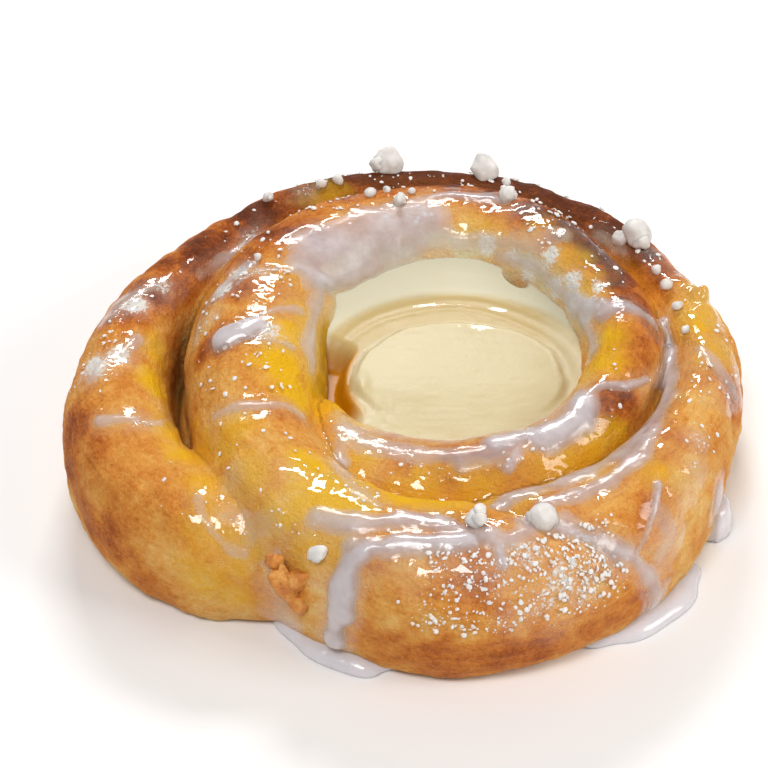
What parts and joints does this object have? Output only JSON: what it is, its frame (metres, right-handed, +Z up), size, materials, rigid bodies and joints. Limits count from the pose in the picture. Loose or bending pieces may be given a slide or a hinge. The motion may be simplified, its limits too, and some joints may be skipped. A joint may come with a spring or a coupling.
{
  "type": "danish pastry",
  "caption": "Snail of sweet dough coiled round a well of custard, with sugar icing run over the coils and pearl sugar on top, ready to eat.",
  "frame": {"origin": "middle of the footprint, on the surface that the pastry rests on", "axes": "+Z up, -Y towards the front edge where the coil's outer end tucks in on the left, +X to the right"},
  "size_m": [0.1182, 0.1124, 0.0315],
  "materials": {
    "crust": "baked golden-brown crust, matt to satin",
    "custard": "smooth pale yellow custard, satin",
    "icing": "milky sugar glaze, glossy",
    "pearl_sugar": "white sugar grains, matt"
  },
  "bodies": {
    "root": {"dough": "crust", "custard": "custard"}
  },
  "joints": []
}
